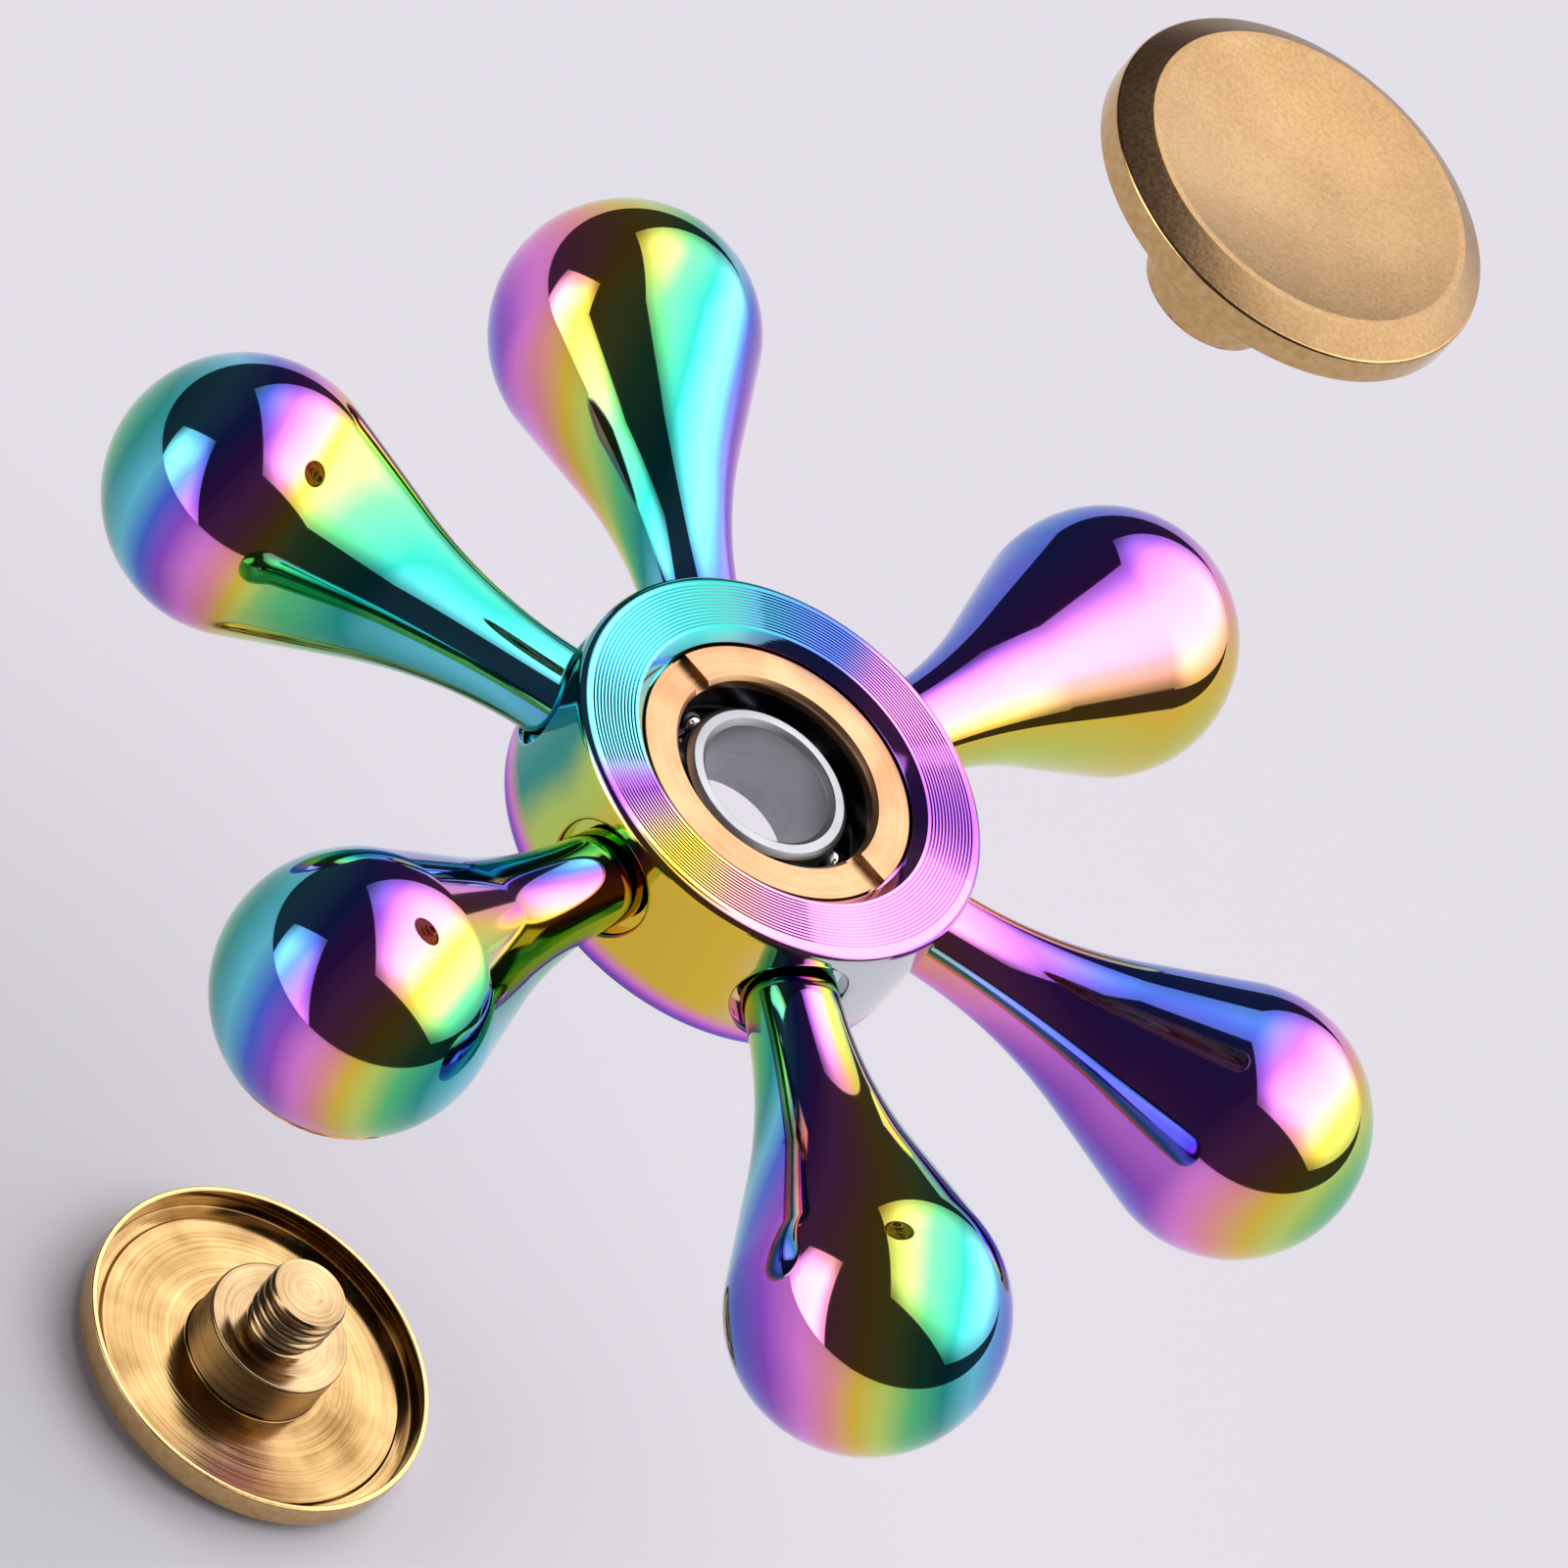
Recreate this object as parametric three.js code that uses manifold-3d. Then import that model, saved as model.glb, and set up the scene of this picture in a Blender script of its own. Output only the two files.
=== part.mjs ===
// Six-armed metal fidget spinner with its two thumb caps drawn out along the spin axis.
// Millimetres, +Z along the spin axis, origin at the centre of the bearing.
// Arm 1 points along +X, and the others follow it anticlockwise seen from above. The caps stand
// unscrewed, clear of the hub, and each slides in along the axis to its seat on the bearing.
import * as THREE from 'three';
import { mergeVertices } from 'three/addons/utils/BufferGeometryUtils.js';
import Module from 'manifold-3d';

const wasm = await Module();
wasm.setup();

// ---- Driving dimensions -------------------------------------------------------------------

// Hub ring
const HUB_R = 10.45;
const HUB_HALF = 3.7;
const HUB_EDGE_R = 0.5; // rounding of both outer edges
const MOUTH_R = 7.5; // where the flat face meets the mouth's chamfer
const POCKET_R = 7.0; // threaded pocket that holds the lock ring
const BACK_LIP_R = 5.5; // shoulder that the bearing is pushed against
const BACK_LIP_Z = -3.1;
const SEAT_STEP = 0.4; // the bearing's face stands this far above its seat's edge
const PRESS_GAP = 0.03; // left between the bearing and its seat

// Ball bearing, size R188
const BORE_R = 3.175;
const BEARING_R = 6.35;
const BEARING_HALF = 2.381;
const BALL_R = 0.79375;
const BALL_COUNT = 10;
const PITCH_R = (BORE_R + BEARING_R) / 2;
const INNER_LAND_R = 4.15; // inner race beside its groove
const OUTER_LAND_R = 5.4; // outer race beside its groove
const GROOVE_R = 0.85;
const BORE_CHAMFER = 0.27;
const RACE_CHAMFER = 0.28; // both outer edges of the inner race
const OUTER_CHAMFER = 0.2; // both outer edges of the outer race

// Cage that spaces the balls
const CAGE_INNER_R = 4.35;
const CAGE_OUTER_R = 5.15;
const CAGE_TOP = 0.35;
const CAGE_BOTTOM = -1.3;
const CAGE_POCKET_R = 0.88;

// Slotted lock ring
const LOCK_OUTER_R = 6.85;
const LOCK_INNER_R = 5.05;
const LOCK_BOTTOM = 2.42;
const LOCK_TOP = 3.15;
const LOCK_CHAMFER = 0.2;
const SLOT_WIDTH = 1.0;
const SLOT_DEPTH = 0.4;
const SLOT_AZIMUTH = -24.4; // degrees from arm 1

// Arms: a sphere, a straight flare tangent to it, and a long hollow curve down to the neck
const ARM_COUNT = 6;
const DROP_R = 6.38;
const DROP_CENTRE = 26.8; // from the spin axis
const FLARE_ANGLE = 21.8; // degrees
const FLARE_R = 24.2;
const NECK_R = 2.2;
const FOOT_END = 9.8; // end of the neck, inside the socket
const SPIGOT_R = 1.45;
const SPIGOT_END = 7.8;
const SOCKET_R = 2.65;
const SOCKET_FLOOR = 9.5;
const SPIGOT_HOLE_R = 1.65;
const SPIGOT_HOLE_END = 7.5;

// Caps, measured from the plane of the rim that faces the hub: + is outward, - is towards the hub
const CAP_R = 9.1;
const CAP_WALL = 1.35;
const CAP_LIP_R = 7.76;
const CAP_LIP_FLAT = 0.3;
const CAP_LIP_Z = 2.18;
const DISH_DEPTH = 0.8;
const RIM_WIDTH = 0.3;
const LEDGE_Z = 1.3;
const LEDGE_R = 8.08;
const FLOOR_R = 7.98;
const FLOOR_EDGE_Z = 1.12;
const FLOOR_Z = 0.83; // at the foot of the boss
const BOSS_R = 3.65;
const BOSS_TOP = -1.85;
const BOSS_CHAMFER = 0.15;
const SLEEVE_R = 3.12; // slides through the bearing's bore
const SLEEVE_TIP = -6.2;
const SLEEVE_HOLE_R = 2.1; // tapped for the stud
const SLEEVE_HOLE_DEPTH = 3.0;
const TIP_CHAMFER = 0.25;
const STUD_R = 2.0;
const THREAD_DEPTH = 0.36;
const THREAD_PITCH = 0.64;
const THREAD_CREST = 0.16; // flat width of each crest
const THREAD_TURNS = 4;
const NECK_DOWN_R = 1.6;
const STUD_TIP = -4.88;

// Rim plane of each cap from the bearing's centre, drawn out
const CAP_OUT = 45.8;

// How far a cutter runs past the surface that it opens
const CUT_OVERRUN = 1;

// Facets round each turned piece
const FACETS = 30;
const ARM_FACETS = 14;
const PIN_FACETS = 18;
const BALL_FACETS = 10;
const BALL_RINGS = 6;

// Steps along the curved parts of the profiles
const EDGE_STEPS = 3;
const GROOVE_STEPS = 4;
const FLARE_STEPS = 4;
const BULB_STEPS = 7;
const BULB_LAST_ANGLE = 80; // degrees; the tip is closed by a cone from here
const DISH_STEPS = 4;

// Vertices nearer than this are one
const MERGE_DISTANCE = 1e-5;

// ---- Helpers ------------------------------------------------------------------------------

const radians = THREE.MathUtils.degToRad;

function point(radius, height) {
  return new THREE.Vector2(radius, height);
}

// Points on an arc about (r, z), from one angle to another in degrees, both ends included
function arc(r, z, radius, from, to, steps) {
  const points = [];
  for (let i = 0; i <= steps; i += 1) {
    const angle = radians(from + ((to - from) * i) / steps);
    points.push(point(r + radius * Math.cos(angle), z + radius * Math.sin(angle)));
  }
  return points;
}

// A turned piece about +Z. The profile runs counter-clockwise in (radius, height).
function turned(profile, facets = FACETS) {
  return new THREE.LatheGeometry(profile, facets).rotateX(Math.PI / 2);
}

// A turned piece whose profile closes on itself
function turnedRing(profile, facets = FACETS) {
  return turned([...profile, profile[0].clone()], facets);
}

// The same surface as positions and faces alone, with its seams closed
function bare(geometry) {
  const copy = geometry.clone();
  copy.deleteAttribute('normal');
  copy.deleteAttribute('uv');
  return mergeVertices(copy, MERGE_DISTANCE);
}

function toManifold(geometry) {
  const merged = bare(geometry);
  return new wasm.Manifold(new wasm.Mesh({
    numProp: 3,
    vertProperties: new Float32Array(merged.attributes.position.array),
    triVerts: new Uint32Array(merged.index.array),
  }));
}

function toGeometry(manifold) {
  const mesh = manifold.getMesh();
  const geometry = new THREE.BufferGeometry();
  geometry.setAttribute('position', new THREE.BufferAttribute(mesh.vertProperties, 3));
  geometry.setIndex(new THREE.BufferAttribute(mesh.triVerts, 1));
  geometry.computeVertexNormals();
  return geometry;
}

// The base with every cutter taken away
function cut(base, cutters) {
  let result = toManifold(base);
  for (const cutter of cutters) {
    result = result.subtract(toManifold(cutter));
  }
  return toGeometry(result);
}

// A bar along +X from one radius to another, turned to an azimuth about Z
function radialPin(radius, from, to, azimuth) {
  return new THREE.CylinderGeometry(radius, radius, to - from, PIN_FACETS)
    .rotateZ(Math.PI / 2)
    .translate((from + to) / 2, 0, 0)
    .rotateZ(radians(azimuth));
}

function metal(color, roughness) {
  return new THREE.MeshStandardMaterial({ color, metalness: 1, roughness });
}

const spinner = new THREE.Group();

function add(name, geometry, material, parent = spinner) {
  const mesh = new THREE.Mesh(geometry, material);
  mesh.name = name;
  parent.add(mesh);
  return mesh;
}

// ---- Hub ring: turned body with a socket for each arm ---------------------------------------

const armAzimuth = (index) => (360 / ARM_COUNT) * index;

function hubRing() {
  const straight = HUB_HALF - HUB_EDGE_R;
  const shoulder = HUB_R - HUB_EDGE_R;
  const chamfer = MOUTH_R - POCKET_R;
  const seat = BEARING_R + PRESS_GAP;
  const stop = -BEARING_HALF - PRESS_GAP;
  const profile = [
    point(MOUTH_R, -HUB_HALF),
    ...arc(shoulder, -straight, HUB_EDGE_R, -90, 0, EDGE_STEPS),
    ...arc(shoulder, straight, HUB_EDGE_R, 0, 90, EDGE_STEPS),
    point(MOUTH_R, HUB_HALF),
    point(POCKET_R, HUB_HALF - chamfer),
    point(POCKET_R, BEARING_HALF - SEAT_STEP),
    point(seat, BEARING_HALF - SEAT_STEP),
    point(seat, stop),
    point(BACK_LIP_R, stop),
    point(BACK_LIP_R, BACK_LIP_Z),
    point(POCKET_R, BACK_LIP_Z),
    point(POCKET_R, chamfer - HUB_HALF),
  ];
  const cutters = [];
  for (let i = 0; i < ARM_COUNT; i += 1) {
    cutters.push(radialPin(SOCKET_R, SOCKET_FLOOR, HUB_R + CUT_OVERRUN, armAzimuth(i)));
    cutters.push(radialPin(SPIGOT_HOLE_R, SPIGOT_HOLE_END, HUB_R + CUT_OVERRUN, armAzimuth(i)));
  }
  return cut(turnedRing(profile), cutters);
}

add('hub_ring', hubRing(), metal(0x7a6fb8, 0.08));

// ---- Arms: one drop per socket, each with its own spigot ------------------------------------

function dropProfile() {
  const angle = radians(FLARE_ANGLE);
  const flareStart = NECK_R + FLARE_R * (1 - Math.cos(angle));
  const onSphere = DROP_CENTRE - DROP_R * Math.sin(angle);
  const rise = DROP_R * Math.cos(angle) - flareStart;
  const neckAt = onSphere - rise / Math.tan(angle) - FLARE_R * Math.sin(angle);
  return [
    point(0, SPIGOT_END),
    point(SPIGOT_R, SPIGOT_END),
    point(SPIGOT_R, FOOT_END),
    point(NECK_R, FOOT_END),
    ...arc(NECK_R + FLARE_R, neckAt, FLARE_R, 180, 180 - FLARE_ANGLE, FLARE_STEPS),
    ...arc(0, DROP_CENTRE, DROP_R, -FLARE_ANGLE, BULB_LAST_ANGLE, BULB_STEPS),
    point(0, DROP_CENTRE + DROP_R),
  ];
}

for (let i = 0; i < ARM_COUNT; i += 1) {
  const arm = new THREE.Group();
  arm.rotation.z = radians(armAzimuth(i));
  spinner.add(arm);
  const drop = add(`arm_drop_${i + 1}`, turned(dropProfile(), ARM_FACETS), metal(0x8f6fc0, 0.06), arm);
  drop.rotation.y = Math.PI / 2;
}

// ---- Bearing: two races, a cage and its balls -----------------------------------------------

function innerRace() {
  const half = THREE.MathUtils.radToDeg(Math.acos((PITCH_R - INNER_LAND_R) / GROOVE_R));
  return turnedRing([
    point(BORE_R + BORE_CHAMFER, -BEARING_HALF),
    point(INNER_LAND_R - RACE_CHAMFER, -BEARING_HALF),
    point(INNER_LAND_R, RACE_CHAMFER - BEARING_HALF),
    ...arc(PITCH_R, 0, GROOVE_R, 180 + half, 180 - half, GROOVE_STEPS),
    point(INNER_LAND_R, BEARING_HALF - RACE_CHAMFER),
    point(INNER_LAND_R - RACE_CHAMFER, BEARING_HALF),
    point(BORE_R + BORE_CHAMFER, BEARING_HALF),
    point(BORE_R, BEARING_HALF - BORE_CHAMFER),
    point(BORE_R, BORE_CHAMFER - BEARING_HALF),
  ]);
}

function outerRace() {
  const half = THREE.MathUtils.radToDeg(Math.acos((OUTER_LAND_R - PITCH_R) / GROOVE_R));
  return turnedRing([
    point(OUTER_LAND_R, -BEARING_HALF),
    point(BEARING_R - OUTER_CHAMFER, -BEARING_HALF),
    point(BEARING_R, OUTER_CHAMFER - BEARING_HALF),
    point(BEARING_R, BEARING_HALF - OUTER_CHAMFER),
    point(BEARING_R - OUTER_CHAMFER, BEARING_HALF),
    point(OUTER_LAND_R, BEARING_HALF),
    ...arc(PITCH_R, 0, GROOVE_R, half, -half, GROOVE_STEPS),
  ]);
}

const ballAzimuth = (index) => (360 / BALL_COUNT) * index;

function ballAt(radius, azimuth) {
  return new THREE.SphereGeometry(radius, BALL_FACETS, BALL_RINGS)
    .rotateX(Math.PI / 2)
    .translate(PITCH_R, 0, 0)
    .rotateZ(radians(azimuth));
}

function cage() {
  const ring = turnedRing([
    point(CAGE_INNER_R, CAGE_BOTTOM),
    point(CAGE_OUTER_R, CAGE_BOTTOM),
    point(CAGE_OUTER_R, CAGE_TOP),
    point(CAGE_INNER_R, CAGE_TOP),
  ]);
  const pockets = [];
  for (let i = 0; i < BALL_COUNT; i += 1) {
    pockets.push(ballAt(CAGE_POCKET_R, ballAzimuth(i)));
  }
  return cut(ring, pockets);
}

add('bearing_inner_race', innerRace(), metal(0xc9c9cc, 0.18));
add('bearing_outer_race', outerRace(), metal(0xc9c9cc, 0.18));
add('bearing_cage', cage(), metal(0x6b5a48, 0.3));
for (let i = 0; i < BALL_COUNT; i += 1) {
  const name = `bearing_ball_${String(i + 1).padStart(2, '0')}`;
  add(name, ballAt(BALL_R, ballAzimuth(i)), metal(0xdcdcde, 0.05));
}

// ---- Lock ring with its two spanner slots ----------------------------------------------------

function lockRing() {
  const ring = turnedRing([
    point(LOCK_INNER_R, LOCK_BOTTOM),
    point(LOCK_OUTER_R, LOCK_BOTTOM),
    point(LOCK_OUTER_R, LOCK_TOP),
    point(LOCK_INNER_R + LOCK_CHAMFER, LOCK_TOP),
    point(LOCK_INNER_R, LOCK_TOP - LOCK_CHAMFER),
  ]);
  const slot = new THREE.BoxGeometry(2 * (LOCK_OUTER_R + CUT_OVERRUN), SLOT_WIDTH, 2 * SLOT_DEPTH)
    .translate(0, 0, LOCK_TOP)
    .rotateZ(radians(SLOT_AZIMUTH));
  return cut(ring, [slot]);
}

add('lock_ring', lockRing(), metal(0xc8a06a, 0.25));

// ---- Thumb caps ------------------------------------------------------------------------------

// From the outer dish's centre, over the lip, wall, rim and inner floor, to the foot of the boss
function shellProfile() {
  const dishEdge = CAP_LIP_R - CAP_LIP_FLAT;
  const dishR = (dishEdge ** 2 + DISH_DEPTH ** 2) / (2 * DISH_DEPTH);
  const spread = THREE.MathUtils.radToDeg(Math.asin(dishEdge / dishR));
  return [
    ...arc(0, CAP_LIP_Z - DISH_DEPTH + dishR, dishR, -90, -90 + spread, DISH_STEPS),
    point(CAP_LIP_R, CAP_LIP_Z),
    point(CAP_R, CAP_WALL),
    point(CAP_R, 0),
    point(CAP_R - RIM_WIDTH, 0),
    point(CAP_R - RIM_WIDTH, LEDGE_Z),
    point(LEDGE_R, LEDGE_Z),
    point(FLOOR_R, FLOOR_EDGE_Z),
    point(BOSS_R, FLOOR_Z),
    point(BOSS_R, BOSS_TOP + BOSS_CHAMFER),
    point(BOSS_R - BOSS_CHAMFER, BOSS_TOP),
  ];
}

function topCap() {
  const holeEnd = SLEEVE_TIP + SLEEVE_HOLE_DEPTH;
  return turned([
    ...shellProfile(),
    point(SLEEVE_R, BOSS_TOP),
    point(SLEEVE_R, SLEEVE_TIP + TIP_CHAMFER),
    point(SLEEVE_R - TIP_CHAMFER, SLEEVE_TIP),
    point(SLEEVE_HOLE_R, SLEEVE_TIP),
    point(SLEEVE_HOLE_R, holeEnd),
    point(0, holeEnd),
  ].reverse());
}

function bottomCap() {
  const threadStart = STUD_TIP + TIP_CHAMFER + THREAD_PITCH * THREAD_TURNS;
  const thread = [];
  for (let i = 0; i < THREAD_TURNS; i += 1) {
    const crest = threadStart - THREAD_PITCH * (i + 0.5);
    thread.push(point(STUD_R, crest + THREAD_CREST / 2));
    thread.push(point(STUD_R, crest - THREAD_CREST / 2));
    thread.push(point(STUD_R - THREAD_DEPTH, crest - THREAD_PITCH / 2));
  }
  return turned([
    ...shellProfile(),
    point(NECK_DOWN_R, BOSS_TOP),
    point(NECK_DOWN_R, threadStart),
    ...thread,
    point(STUD_R - THREAD_DEPTH, STUD_TIP),
    point(0, STUD_TIP),
  ].reverse());
}

add('top_cap', topCap(), metal(0xb08a55, 0.32)).position.z = CAP_OUT;

const bottom = add('bottom_cap', bottomCap(), metal(0xb08a55, 0.22));
bottom.position.z = -CAP_OUT;
bottom.rotation.x = Math.PI;

export default spinner;
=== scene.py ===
"""Looks of a six-armed fidget spinner with its thumb caps drawn out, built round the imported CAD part.

Metres, +Z along the spin axis, origin at the centre of the bearing. Outlines are in millimetres.
"""

import cmath
import math

import bmesh
import bpy
from mathutils import Matrix, Vector


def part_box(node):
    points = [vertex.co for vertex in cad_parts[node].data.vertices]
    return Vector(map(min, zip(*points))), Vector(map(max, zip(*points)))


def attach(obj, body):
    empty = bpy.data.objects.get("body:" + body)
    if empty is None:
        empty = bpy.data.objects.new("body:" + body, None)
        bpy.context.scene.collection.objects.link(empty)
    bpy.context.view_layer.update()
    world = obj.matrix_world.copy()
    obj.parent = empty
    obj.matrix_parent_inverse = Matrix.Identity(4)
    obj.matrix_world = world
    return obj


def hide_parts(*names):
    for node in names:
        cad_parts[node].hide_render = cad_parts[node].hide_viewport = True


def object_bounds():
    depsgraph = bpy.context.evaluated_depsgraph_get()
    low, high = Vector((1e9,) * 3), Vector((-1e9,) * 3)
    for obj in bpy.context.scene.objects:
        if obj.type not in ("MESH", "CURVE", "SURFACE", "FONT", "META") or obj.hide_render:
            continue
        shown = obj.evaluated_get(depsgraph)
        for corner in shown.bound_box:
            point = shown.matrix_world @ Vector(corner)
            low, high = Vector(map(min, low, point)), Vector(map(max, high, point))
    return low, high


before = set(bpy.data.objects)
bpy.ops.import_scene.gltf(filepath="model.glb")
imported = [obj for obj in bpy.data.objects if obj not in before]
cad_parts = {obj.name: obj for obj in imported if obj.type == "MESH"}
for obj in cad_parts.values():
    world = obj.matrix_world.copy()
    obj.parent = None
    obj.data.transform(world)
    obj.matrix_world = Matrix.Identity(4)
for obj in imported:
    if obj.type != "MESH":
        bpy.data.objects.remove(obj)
cad_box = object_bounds()

MM = 0.001
TURN = 2 * math.pi


# ---- Sizes, in millimetres -----------------------------------------------------------------------


def top_of(node):
    """The highest corner of a CAD node, in millimetres."""
    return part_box(node)[1] / MM


HUB_R = top_of("hub_ring").y
HUB_HALF = top_of("hub_ring").z
HUB_EDGE = 0.5  # rounding of both outer edges
MOUTH_R = 7.5
POCKET_R = 7.0
PRESS_GAP = 0.03  # between the bearing and its seat
SEAT_R = 6.38
BEARING_FACE = top_of("bearing_inner_race").z
SEAT_EDGE = 1.98
BACK_LIP_R = 5.5
BACK_LIP_Z = -3.1
GROOVE_COUNT = 13
GROOVE_DEPTH = 0.05
GROOVE_LAND = 0.45  # flat share of each groove's pitch
GROOVES_START = 0.08  # from the edge's rounding
GROOVES_END = 0.12  # from the mouth
MOUTH_EASE = 0.1
BROKEN_EDGE = 0.05
FOOT_TINT = 2.0  # how far under the bearing's middle the foot's hues begin

ARM_COUNT = 6
SOCKET_R = 2.65
SOCKET_LIP = 0.32
SOCKET_FLOOR = 9.5
SPIGOT_HOLE_R = 1.65
SPIGOT_HOLE_END = 7.5
HOLE_MIDDLE_R = 0.01  # where the hole's floor stops

DROP_END = top_of("arm_drop_1").x
DROP_R = 6.38
DROP_CENTRE = DROP_END - DROP_R
FLARE_ANGLE = math.radians(21.8)
FLARE_R = 24.2
NECK_R = 2.2
FOOT_END = 9.8
SPIGOT_R = 1.45
SPIGOT_END = 7.8

BORE_R = 3.175
PITCH_R = 4.7625
BALL_R = 0.79375
BALL_COUNT = 10
RACE_GROOVE_R = 0.85
INNER_LAND_R = 4.15
OUTER_LAND_R = 5.4
CAGE_INNER_R = 4.35
CAGE_OUTER_R = 5.15
CAGE_TOP = 0.35
CAGE_BOTTOM = -1.3
CAGE_POCKET_R = 0.88
LAND_DEPTH = 0.6  # how far a race's land is drawn in from its face
BORE_CHAMFER = 0.27
RACE_CHAMFER = 0.28
OUTER_RACE_EDGE = 0.2

LOCK_TOP = top_of("lock_ring").z
LOCK_BOTTOM = 2.42
LOCK_INNER_R = 5.05
LOCK_OUTER_R = 6.85
SLOT_WIDTH = 1.0
SLOT_DEPTH = 0.4
SLOT_AZIMUTH = math.radians(-24.4)
LOCK_CHAMFER = 0.2

CAP_LIP_Z = 2.18
CAP_OUT = top_of("top_cap").z - CAP_LIP_Z
CAP_R = 9.1
CAP_WALL = 1.35
CAP_LIP_R = 7.76
CAP_LIP_FLAT = 0.3
DISH_DEPTH = 0.8
RIM_WIDTH = 0.3
LEDGE_Z = 1.3
LEDGE_R = 8.08
FLOOR_R = 7.98
FLOOR_EDGE_Z = 1.12
FLOOR_Z = 0.83
BOSS_R = 3.65
BOSS_TOP = -1.85
RIB_COUNT = 18
RIB_DEPTH = -0.03
RIB_MARGIN = 0.2  # plain at each end of the boss
SLEEVE_R = 3.12
SLEEVE_TIP = -6.2
SLEEVE_HOLE_R = 2.1
SLEEVE_HOLE_DEPTH = 3.0
STUD_R = 2.0
STUD_TIP = -4.88
THREAD_DEPTH = 0.36
THREAD_PITCH = 0.64
THREAD_TURNS = 4
THREAD_STEPS = 20  # heights in each turn
THREAD_LEAD = 0.25  # from the stud's tip
STUD_CHAMFER = 0.12
NECK_DOWN_R = 1.6
SHOULDER_R = 2.7  # slight hollow round the neck
SHOULDER_SINK = 0.1


# ---- Fineness ------------------------------------------------------------------------------------

ROUNDING_STEPS = 5
SEGMENTS = 192
LOCK_SEGMENTS = 240
CAP_SEGMENTS = 240
DROP_SEGMENTS = 96
BALL_SEGMENTS = 48
WALL_ACROSS = 48  # faces of each sixth of the hub's wall
WALL_UP = 24
SHARP = 32  # degrees between faces above which an edge shows
DROP_SHARP = 50


# ---- Outlines ------------------------------------------------------------------------------------
# A point of an outline is radius + height * 1j. A stretch's finish is the material slot of its faces.


def rounded(corners, closed=False):
    """Points and finishes along corners given as (radius, height, rounding, finish of what follows)."""
    places = [complex(r, z) for r, z, _, _ in corners]
    points, finishes = [], []
    for i, (_, _, rounding, finish) in enumerate(corners):
        here = places[i]
        if not rounding or (not closed and i in (0, len(corners) - 1)):
            points.append(here)
            finishes.append(finish)
            continue
        back = places[i - 1] - here
        ahead = places[(i + 1) % len(places)] - here
        back, ahead = back / abs(back), ahead / abs(ahead)
        half = abs(cmath.phase(ahead / back)) / 2
        middle = here + (back + ahead) / abs(back + ahead) * rounding / math.sin(half)
        start = here + back * rounding / math.tan(half) - middle
        end = here + ahead * rounding / math.tan(half) - middle
        sweep = cmath.phase(end / start)
        for step in range(ROUNDING_STEPS + 1):
            points.append(middle + start * cmath.exp(1j * sweep * step / ROUNDING_STEPS))
            finishes.append(finish)
    return points, finishes


def plain(points):
    """An outline with one finish."""
    return points, [0] * len(points)


def arc(middle, radius, start, end, steps):
    """Points from one angle to another, in radians, both ends included."""
    return [
        middle + cmath.rect(radius, start + (end - start) * i / steps) for i in range(steps + 1)
    ]


def grooved(start, end, count, depth):
    """Points from start to end, ends left out, with fine tool grooves sunk to the left of the way."""
    along = (end - start) / count
    inward = 1j * along / abs(along) * depth
    land = GROOVE_LAND / 2
    hollow = ((land, 0), (0.42, 0.7), (0.5, 1), (0.58, 0.7), (1 - land, 0))
    points = []
    for i in range(count):
        for share, sunk in hollow:
            points.append(start + along * (i + share) + inward * sunk)
    return points


# ---- Meshes --------------------------------------------------------------------------------------


def piece(name, vertices, faces, materials, slots=None, sharp=SHARP):
    """A mesh object from millimetres, shaded smooth except at edges sharper than that many degrees."""
    mesh = bpy.data.meshes.new(name)
    mesh.from_pydata([Vector(v) * MM for v in vertices], [], faces)
    for material in materials:
        mesh.materials.append(material)
    if slots:
        mesh.polygons.foreach_set("material_index", slots)
    bm = bmesh.new()
    bm.from_mesh(mesh)
    bmesh.ops.remove_doubles(bm, verts=bm.verts, dist=1e-7)
    bmesh.ops.dissolve_degenerate(bm, edges=bm.edges, dist=1e-8)
    bmesh.ops.recalc_face_normals(bm, faces=bm.faces)
    bm.to_mesh(mesh)
    bm.free()
    mesh.shade_smooth()
    mesh.set_sharp_from_angle(angle=math.radians(sharp))
    thing = bpy.data.objects.new(name, mesh)
    bpy.context.scene.collection.objects.link(thing)
    even = thing.modifiers.new("even normals", "WEIGHTED_NORMAL")
    even.keep_sharp = True
    return thing


def grid(rows, closed, finishes):
    """Faces and their slots between rows of vertex numbers, each row a ring. A row of one is a pole."""
    faces, slots = [], []
    pairs = list(zip(rows, rows[1:] + rows[:1] if closed else rows[1:]))
    for (low, high), finish in zip(pairs, finishes):
        for i in range(max(len(low), len(high))):
            corners = [
                low[i % len(low)],
                low[(i + 1) % len(low)],
                high[(i + 1) % len(high)],
                high[i % len(high)],
            ]
            face = tuple(dict.fromkeys(corners))
            if len(face) > 2:
                faces.append(face)
                slots.append(finish)
    return faces, slots


def swept(outline, segments, closed, place):
    """Vertices, faces and slots of an outline swept round, with place(radius, height, angle) -> xyz."""
    points, finishes = outline
    vertices, rows = [], []
    for point in points:
        ring = 1 if abs(point.real) < 1e-6 else segments
        rows.append(list(range(len(vertices), len(vertices) + ring)))
        vertices += [place(point.real, point.imag, TURN * i / segments) for i in range(ring)]
    faces, slots = grid(rows, closed, finishes)
    return vertices, faces, slots


def upright(radius, height, angle):
    """A placing for a piece turned about the spin axis."""
    return (radius * math.cos(angle), radius * math.sin(angle), height)


def turned(
    name, outline, materials, segments=SEGMENTS, closed=False, place=upright, sharp=SHARP
):
    """A turned piece, by default about +Z."""
    vertices, faces, slots = swept(outline, segments, closed, place)
    return piece(name, vertices, faces, materials, slots, sharp)


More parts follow.
